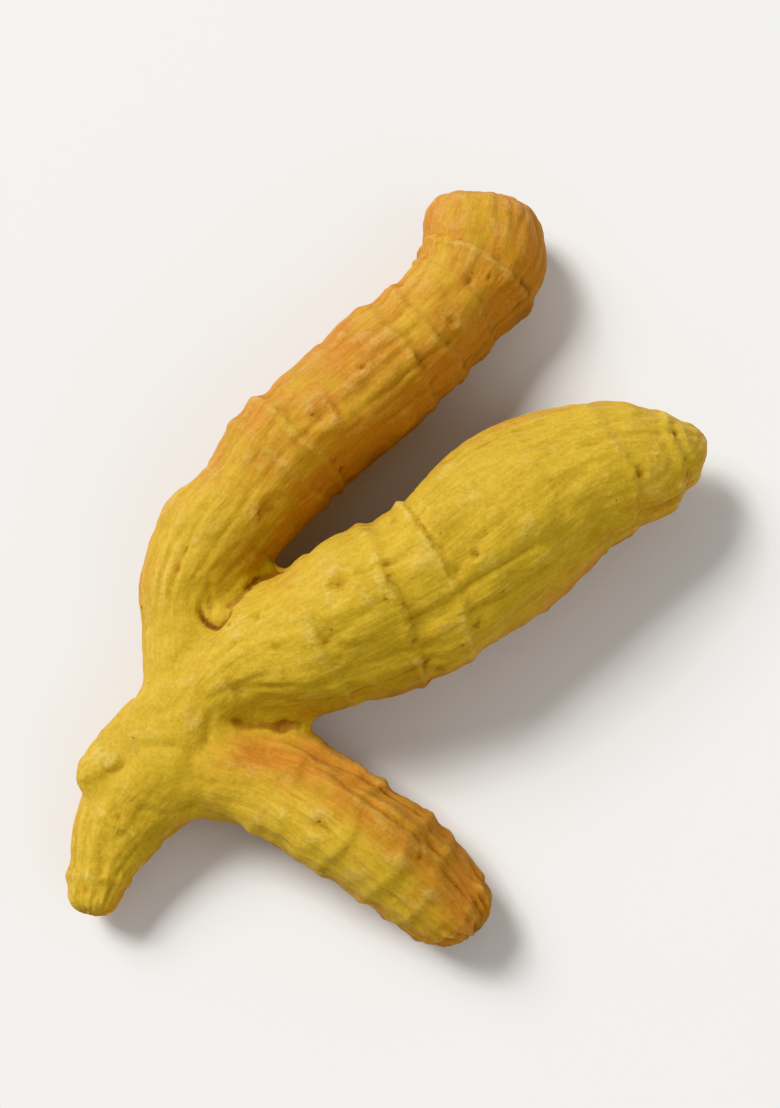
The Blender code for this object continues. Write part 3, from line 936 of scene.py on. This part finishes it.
def stains(skin):
    """Where the skin is brown: cracks, root scars, pits and a few stains."""
    scar, scar_width = SCAR_BROWN
    rim, rim_place, rim_width = SCAR_RIM_BROWN
    pit, pit_width = PIT_BROWN
    brown = CRACK_BROWN * cracks(skin.spots, skin.facing)
    brown += KNOT_BROWN * np.maximum(-knots(skin.spots, skin.facing), 0.0)
    for x, y, radius, strength in STAINS:
        away = np.hypot(skin.spots[:, 0] - x, skin.spots[:, 1] - y) / radius
        brown += strength * bump(away, STAIN_WIDTH) * (skin.facing[:, 2] > 0.0)
    for limb, mine, along, angle, off_axis in skin.by_limb():
        local = np.zeros_like(along)
        for name, place, degrees, size, _ in SCARS:
            if name == limb.name:
                away = around_mark(along, angle, off_axis, place, degrees, size)
                local += scar * bump(away, scar_width) + rim * bump(away - rim_place, rim_width)
        for place, degrees, size, depth in limb.pits:
            away = around_mark(along, angle, off_axis, place, degrees, size)
            local += pit * depth * bump(away, pit_width)
        if limb.name == "long_finger":
            strength, width, start, reach = HEAD_BROWN
            dish = rise(along - limb.length, -start, reach)
            local += strength * dish * bump(off_axis, width)
        brown[mine] += local * skin.clear[mine]
    return np.clip(brown, 0.0, 1.0)


def flanks(skin):
    """1 where the plain form faces sideways or down, 0 where it faces up: the mask for painted shade
    on the sides and underside.
    """
    start, reach = FLANK_START
    return np.clip((start - skin.facing[:, 2]) / reach, 0.0, 1.0)


def fibre_places(skin):
    """Places in metres that run along each limb, for marks drawn out lengthwise."""
    seeds = np.array([limb.seed for limb in skin.limbs])[skin.own]
    round_x = skin.off_axis * np.cos(skin.around)
    round_y = skin.off_axis * np.sin(skin.around)
    return np.column_stack([round_x, round_y, skin.along + LIMB_GAP * seeds]) * MM


def store(mesh, name, values):
    """Keeps a number or a vector for each point, for the material to read."""
    kind, field = ("FLOAT", "value") if values.ndim == 1 else ("FLOAT_VECTOR", "vector")
    layer = mesh.attributes.new(name, kind, "POINT")
    layer.data.foreach_set(field, values.ravel().astype(np.float32))


class Recipe:
    """Adds linked nodes to a material, one after another."""

    def __init__(self, name):
        self.material = bpy.data.materials.new(name)
        self.material.use_nodes = True
        self.tree = self.material.node_tree
        self.shader = self.tree.nodes["Principled BSDF"]
        self.column = -1800

    def feed(self, socket, value):
        """Links a socket to another's output, or sets its number or colour."""
        if isinstance(value, bpy.types.NodeSocket):
            self.tree.links.new(value, socket)
        elif socket.type == "RGBA":
            socket.default_value = (*value, 1.0)
        else:
            socket.default_value = value

    def add(self, kind, inputs, **settings):
        """A node with its settings and its inputs, given by name or number."""
        node = self.tree.nodes.new(kind)
        node.location = (self.column, 0)
        self.column += 40
        for name, value in settings.items():
            setattr(node, name, value)
        for name, value in inputs.items():
            self.feed(node.inputs[name], value)
        return node

    def attribute(self, name, output="Fac"):
        return self.add("ShaderNodeAttribute", {}, attribute_name=name).outputs[output]

    def noise(self, where, size, detail, roughness, distortion):
        """Cloudy noise from 0 to 1 whose cells are about size mm wide."""
        inputs = {"Scale": 1 / (size * MM), "Detail": detail, "Roughness": roughness}
        inputs.update({"Vector": where, "Distortion": distortion})
        return self.add("ShaderNodeTexNoise", inputs).outputs["Fac"]

    def mapped(self, where, **change):
        """Places that are moved by a Location or squeezed by a Scale."""
        return self.add("ShaderNodeMapping", {"Vector": where, **change}).outputs["Vector"]

    def remap(self, value, low, high, to_low=0.0, to_high=1.0):
        """The value's stretch from low to high, smoothly mapped and clamped."""
        inputs = {"Value": value, "From Min": low, "From Max": high}
        inputs.update({"To Min": to_low, "To Max": to_high})
        node = self.add("ShaderNodeMapRange", inputs, interpolation_type="SMOOTHSTEP")
        return node.outputs["Result"]

    def sum_of(self, *values):
        total = values[0]
        for value in values[1:]:
            total = self.add("ShaderNodeMath", {0: total, 1: value}).outputs[0]
        return total

    def product(self, a, b):
        return self.add("ShaderNodeMath", {0: a, 1: b}, operation="MULTIPLY").outputs[0]

    def level(self, value, share):
        """The value where share is 1, and its middle, 0.5, where share is 0."""
        inputs = {"Factor": share, "A": 0.5, "B": value}
        return self.add("ShaderNodeMix", inputs, data_type="FLOAT").outputs[0]

    def blend(self, under, over, share, mode="MIX"):
        """One colour over another, as far as share says."""
        inputs = {"Factor": share, 6: under, 7: over}  # 6, 7 and output 2 hold colours
        return self.add("ShaderNodeMix", inputs, data_type="RGBA", blend_type=mode).outputs[2]


class SkinRecipe(Recipe):
    """The skin's recipe, with the numbers stored on the skin and noises to mix from."""

    def __init__(self, name):
        super().__init__(name)
        here = self.add("ShaderNodeTexCoord", {}).outputs["Object"]
        fibre = self.attribute("fibre_place", "Vector")
        names = ("fine_height", "broad_height", "warmth", "ring_line", "stain", "flank")
        stored = [self.attribute(name) for name in names]
        self.fine, self.broad, self.warm, self.line, self.brown, self.flank = stored

        self.clouds = self.noise(here, *CLOUDS)
        self.shoals = self.noise(self.mapped(here, Location=SHOALS_AWAY), *SHOALS)
        self.patches = self.noise(here, *PATCHES)
        self.mottle = self.noise(here, *MOTTLE)
        self.grains = self.noise(here, *GRAINS)
        share = self.remap(self.attribute("fibre_share"), 0.0, 0.5)
        streaks = self.noise(self.mapped(fibre, Scale=STREAK_SQUEEZE), *STREAKS)
        self.streaks = self.level(streaks, share)
        threads = self.noise(self.mapped(fibre, Scale=THREAD_SQUEEZE), *THREADS)
        self.threads = self.level(threads, share)

    def plain_skin(self, colours):
        """The skin's colour: yellow, orange on its flanks and dull in patches. The orange where the
        form faces sideways or down is painted shade.
        """
        broken = self.sum_of(self.patches, self.streaks)
        orange = self.sum_of(
            self.product(self.warm, self.remap(self.patches, 0.3, 0.6, 0.7, 1.1)),
            # painted shade: more orange where the form faces sideways or down
            self.product(self.flank, self.remap(broken, 0.65, 1.3, 0.35, 0.9)),
            self.remap(self.clouds, 0.45, 0.7, 0.0, 0.3),
            self.remap(self.patches, 0.52, 0.7, 0.0, 0.2),
            self.remap(self.streaks, 0.5, 0.72, -0.06, 0.25),
        )
        share = self.remap(orange, 0.0, 1.1)
        colour = self.blend(colours.flesh, colours.warm, share)
        worn = self.sum_of(self.shoals, self.product(self.mottle, WORN_MOTTLE))
        return self.blend(colour, colours.dull, self.remap(worn, 0.6, 0.9, 0.0, 0.45))

    def rubbed(self):
        """How much a place was rubbed, as high places were."""
        return self.sum_of(
            self.remap(self.fine, -0.01, 0.07, 0.0, 0.22),
            self.remap(self.broad, -0.1, 0.4, 0.0, 0.4),
            self.remap(self.patches, 0.4, 0.68, -0.2, 0.4),
        )

    def creases_and_painted_shade(self):
        """How much brown is left in furrows and past the rings, with painted shade on the flanks."""
        # painted shade on the orange flanks, darkest on the long finger's side turned from the light
        shaded_orange_flank = self.product(self.warm, self.flank)
        return self.sum_of(
            self.remap(self.fine, -0.015, -0.09, 0.0, 0.5),
            self.remap(self.fine, -0.09, -0.35, 0.0, 0.7),
            self.remap(self.broad, -0.08, -0.5, 0.0, 0.45),
            self.product(self.line, self.remap(self.mottle, 0.35, 0.65, 0.35, 0.95)),
            self.remap(self.mottle, 0.55, 0.75, 0.0, 0.25),
            self.remap(self.threads, 0.6, 0.8, 0.0, 0.3),
            # painted shade: brown where the form faces sideways or down
            self.product(self.flank, self.remap(self.shoals, 0.3, 0.7, 0.1, 0.65)),
            self.product(shaded_orange_flank, self.remap(self.patches, 0.35, 0.65, 0.1, 0.6)),
        )

    def stained(self):
        """How dark the stains, cracks and scars are, with a few specks all over."""
        dark = self.product(self.brown, self.remap(self.mottle, 0.3, 0.65, 0.5, 1.1))
        in_patches = self.remap(self.patches, 0.46, 0.6)
        specks = self.product(self.remap(self.mottle, 0.62, 0.7), in_patches)
        return self.sum_of(dark, self.product(specks, SPECK_STRENGTH))

    def bumps(self):
        """The relief that is too fine to model, from coarse streaks to fine grains."""
        normal = {}
        heights = (self.streaks, self.mottle, self.sum_of(self.grains, self.threads))
        for height, (size, strength) in zip(heights, BUMPS):
            inputs = {"Height": height, "Distance": size * MM, "Strength": strength}
            node = self.add("ShaderNodeBump", {**inputs, **normal})
            normal = {"Normal": node.outputs["Normal"]}
        return normal["Normal"]


def turmeric_finish(colours):
    """Dry turmeric skin: yellow powder on the heights, orange skin, brown creases, and painted shade
    in orange and brown on the flanks.
    """
    mix = SkinRecipe("dry_turmeric_skin")
    inputs = mix.shader.inputs
    rubbed = mix.rubbed()
    less_on_orange = mix.remap(mix.warm, 0.0, 1.0, 1.0, 0.6)
    powdery = mix.product(mix.remap(rubbed, 0.2, 1.0, 0.0, 0.5), less_on_orange)
    colour = mix.blend(mix.plain_skin(colours), colours.powder, powdery)

    # brown of the furrows, with painted shade on the flanks
    deep = mix.remap(mix.creases_and_painted_shade(), 0.15, 1.3, 0.0, 0.9)
    colour = mix.blend(colour, colours.crease_and_shade_brown, deep)
    dark = mix.stained()
    colour = mix.blend(colour, colours.crease_and_shade_brown, mix.remap(dark, 0.05, 0.9, 0.0, 0.75))
    colour = mix.blend(colour, colours.scar, mix.remap(dark, 0.3, 1.3, 0.0, 0.9))
    shade = mix.remap(mix.sum_of(mix.grains, mix.threads), 0.75, 1.25)
    speckle = mix.blend(SPECKLE, (1.0, 1.0, 1.0), shade)
    mix.feed(inputs["Base Color"], mix.blend(colour, speckle, SPECKLE_SHARE, "MULTIPLY"))

    roughness = mix.remap(rubbed, 0.3, 1.2, 0.82, 0.62)
    uneven = mix.remap(mix.mottle, 0.3, 0.7, -0.07, 0.1)
    mix.feed(inputs["Roughness"], mix.sum_of(roughness, uneven))
    for name, value in SHADER_VALUES.items():
        mix.feed(inputs[name], value)
    mix.feed(inputs["Normal"], mix.bumps())
    return mix.material


def floor_finish(colour):
    """A plain pale floor that is a little uneven in its gloss."""
    mix = Recipe("pale_floor")
    here = mix.add("ShaderNodeTexCoord", {}).outputs["Object"]
    mix.feed(mix.shader.inputs["Base Color"], colour)
    cloudy = mix.noise(here, *FLOOR_CLOUDS)
    mix.feed(mix.shader.inputs["Roughness"], mix.remap(cloudy, 0.3, 0.7, 0.5, 0.62))
    return mix.material


class TURMERIC_OT_make_root(Operator):
    """Makes the root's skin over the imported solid"""

    bl_idname = "turmeric.make_root"
    bl_label = "Make the root"

    def execute(self, context):
        settings = context.scene.turmeric_skin
        limbs = [
            Limb("main_axis", MAIN_AXIS, BLUNT_TIP, BLUNT_STUB, seed=3),
            Limb("long_finger", LONG_FINGER, BLUNT_HEAD, seed=5),
            Limb("short_finger", SHORT_FINGER, BLUNT_TIP, seed=8),
            Limb("corner_bud", CORNER_BUD, BLUNT_STUB, seed=13),
        ]
        root = fused_form(limbs, context.scene.collection)
        mesh = root.data
        skin = Skin(mesh, limbs)
        form = skin.spots + relief(skin)[:, None] * skin.facing
        plane = resting_plane(form)
        move_points(mesh, form)
        form += fine_relief(skin, settings)[:, None] * rows_of(mesh, "normal")
        move_points(mesh, settled(form, plane))

        store(mesh, "fine_height", standing_out(mesh, FINE_ROUNDS))
        store(mesh, "broad_height", standing_out(mesh, BROAD_ROUNDS))
        store(mesh, "warmth", warmth(skin))
        store(mesh, "ring_line", ring_lines(skin))
        store(mesh, "stain", stains(skin))
        store(mesh, "flank", flanks(skin))
        store(mesh, "fibre_place", fibre_places(skin))
        store(mesh, "fibre_share", skin.clear)
        mesh.shade_smooth()
        mesh.materials.append(turmeric_finish(settings))

        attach(root, BODY)
        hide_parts(NODE)
        return {"FINISHED"}


def area_light(name, place, size, power, aim, collection):
    """A square soft light that looks at a point."""
    lamp = bpy.data.lights.new(name, "AREA")
    lamp.shape = "SQUARE"
    lamp.size = size
    lamp.energy = power
    light = bpy.data.objects.new(name, lamp)
    light.location = place
    light.rotation_euler = (Vector(aim) - Vector(place)).to_track_quat("-Z", "Y").to_euler()
    collection.objects.link(light)


class TURMERIC_OT_make_studio(Operator):
    """Makes the pale floor, the soft lights and the camera that looks down"""

    bl_idname = "turmeric.make_studio"
    bl_label = "Make the studio"

    def execute(self, context):
        settings = context.scene.turmeric_studio
        collection = context.scene.collection
        low, high = CAD_BOX
        middle = Vector([(a + b) / 2 for a, b in zip(low, high)])

        sheet = bmesh.new()
        bmesh.ops.create_grid(sheet, x_segments=8, y_segments=8, size=settings.floor_size / 2)
        mesh = bpy.data.meshes.new("pale_floor_mesh")
        sheet.to_mesh(mesh)
        sheet.free()
        floor = bpy.data.objects.new("pale_floor", mesh)
        floor.location = (middle.x, middle.y, low[2])
        collection.objects.link(floor)
        mesh.materials.append(floor_finish(settings.floor_colour))

        area_light("key_light", *KEY_LIGHT, settings.key_power, middle, collection)
        area_light("fill_light", *FILL_LIGHT, settings.fill_power, middle, collection)

        world = bpy.data.worlds.new("soft_room")
        world.use_nodes = True
        background = world.node_tree.nodes["Background"]
        background.inputs["Color"].default_value = SKY_COLOUR
        background.inputs["Strength"].default_value = settings.sky
        context.scene.world = world
        context.scene.view_settings.view_transform = "Khronos PBR Neutral"

        lens = bpy.data.cameras.new("camera")
        lens.lens = LENS
        lens.sensor_fit = "VERTICAL"
        lens.sensor_height = SENSOR_HEIGHT
        lens.clip_start = 0.01
        camera = bpy.data.objects.new("camera", lens)
        collection.objects.link(camera)
        picture_width = (high[0] - low[0]) * settings.margin
        picture_height = picture_width * PICTURE[1] / PICTURE[0]
        away = picture_height / 2 / math.tan(lens.angle_y / 2) + (high[2] - low[2]) / 2
        tilt = settings.camera_height
        camera.location = middle + away * Vector((0.0, -math.cos(tilt), math.sin(tilt)))
        camera.rotation_euler = (math.pi / 2 - tilt, 0.0, 0.0)
        context.scene.camera = camera
        return {"FINISHED"}


class TURMERIC_PT_panel(Panel):
    """Lists the settings and the steps in the sidebar"""

    bl_label = "Dried turmeric root"
    bl_idname = "TURMERIC_PT_panel"
    bl_space_type = "VIEW_3D"
    bl_region_type = "UI"
    bl_category = "Turmeric"

    def draw(self, context):
        for settings, operator in (
            (context.scene.turmeric_skin, TURMERIC_OT_make_root),
            (context.scene.turmeric_studio, TURMERIC_OT_make_studio),
        ):
            box = self.layout.box()
            for name in settings.__annotations__:
                box.prop(settings, name)
            box.operator(operator.bl_idname)


CLASSES = (
    TurmericSkinSettings,
    TurmericStudioSettings,
    TURMERIC_OT_make_root,
    TURMERIC_OT_make_studio,
    TURMERIC_PT_panel,
)


def register():
    for cls in CLASSES:
        bpy.utils.register_class(cls)
    bpy.types.Scene.turmeric_skin = PointerProperty(type=TurmericSkinSettings)
    bpy.types.Scene.turmeric_studio = PointerProperty(type=TurmericStudioSettings)


def unregister():
    del bpy.types.Scene.turmeric_studio
    del bpy.types.Scene.turmeric_skin
    for cls in reversed(CLASSES):
        bpy.utils.unregister_class(cls)


def main():
    register()
    bpy.ops.turmeric.make_root()
    bpy.ops.turmeric.make_studio()


if __name__ == "__main__":
    main()
